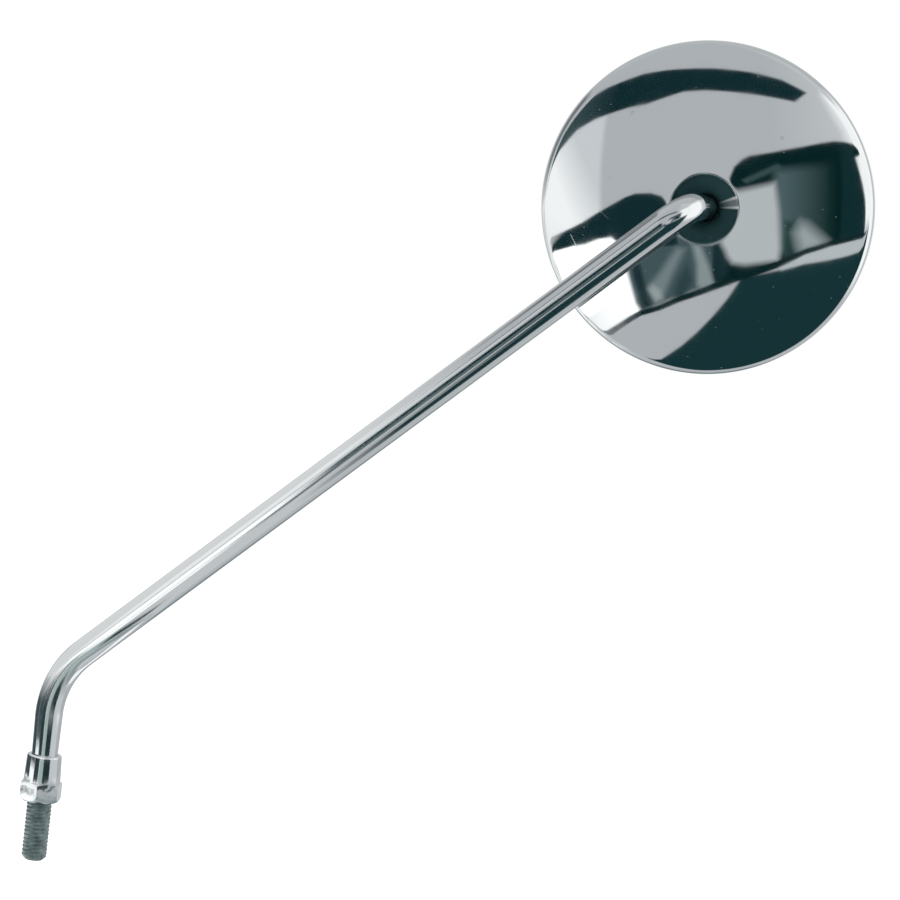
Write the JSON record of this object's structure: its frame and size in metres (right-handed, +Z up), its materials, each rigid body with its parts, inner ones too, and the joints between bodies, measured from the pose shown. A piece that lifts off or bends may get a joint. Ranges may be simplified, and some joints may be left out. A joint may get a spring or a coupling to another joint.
{
  "type": "motorcycle mirror",
  "caption": "Round chrome rear-view mirror on a bent bar stem with a threaded foot, a sleeve lock nut and a ball joint in a funnel behind the convex glass.",
  "frame": {"origin": "on the axis of the threaded foot at the lock nut's seat", "axes": "+Z up along the foot, +X towards the mirror's side, +Y the way the glass looks"},
  "size_m": [0.2406, 0.0532, 0.2796],
  "materials": {
    "stem_chrome": "bright chrome plate on a drawn bar",
    "nut_chrome": "bright chrome plate on a turned nut",
    "shell_chrome": "bright chrome plate on a pressed shell",
    "ball_steel": "turned steel",
    "cup_plastic": "natural moulded plastic",
    "spring_steel": "hardened spring steel",
    "plated_steel": "zinc plated steel",
    "hardboard": "pressed fibre board",
    "mirror_glass": "silvered glass",
    "gasket_rubber": "soft black channel"
  },
  "bodies": {
    "stem": {"stem_rod": "stem_chrome", "ball_stud": "ball_steel"},
    "nut": {"lock_nut": "nut_chrome"},
    "cup": {"friction_cup": "cup_plastic"},
    "washer": {"spring_washer": "spring_steel"},
    "head": {"back_shell": "shell_chrome", "ball_retainer": "plated_steel", "retainer_studs": "plated_steel", "retainer_nuts": "plated_steel", "backing_board": "hardboard", "mirror_glass": "mirror_glass", "rim_gasket": "gasket_rubber"}
  },
  "joints": [
    {"name": "head_pan", "type": "hinge", "parent": "stem", "child": "cup", "pos_m": [0.18528, 0.023, 0.21057], "axis": [0, 0, 1], "range_deg": [-25, 5]},
    {"name": "head_tilt", "type": "hinge", "parent": "cup", "child": "washer", "pos_m": [0.18528, 0.023, 0.21057], "axis": [0.9848, 0.1736, 0], "range_deg": [-15, 15]},
    {"name": "head_spin", "type": "hinge", "parent": "washer", "child": "head", "pos_m": [0.18528, 0.023, 0.21057], "axis": [-0.1736, 0.9848, 0], "continuous": true},
    {"name": "lock_nut_turn", "type": "hinge", "parent": "stem", "child": "nut", "pos_m": [0, 0, 0], "axis": [0, 0, 1], "continuous": true}
  ]
}
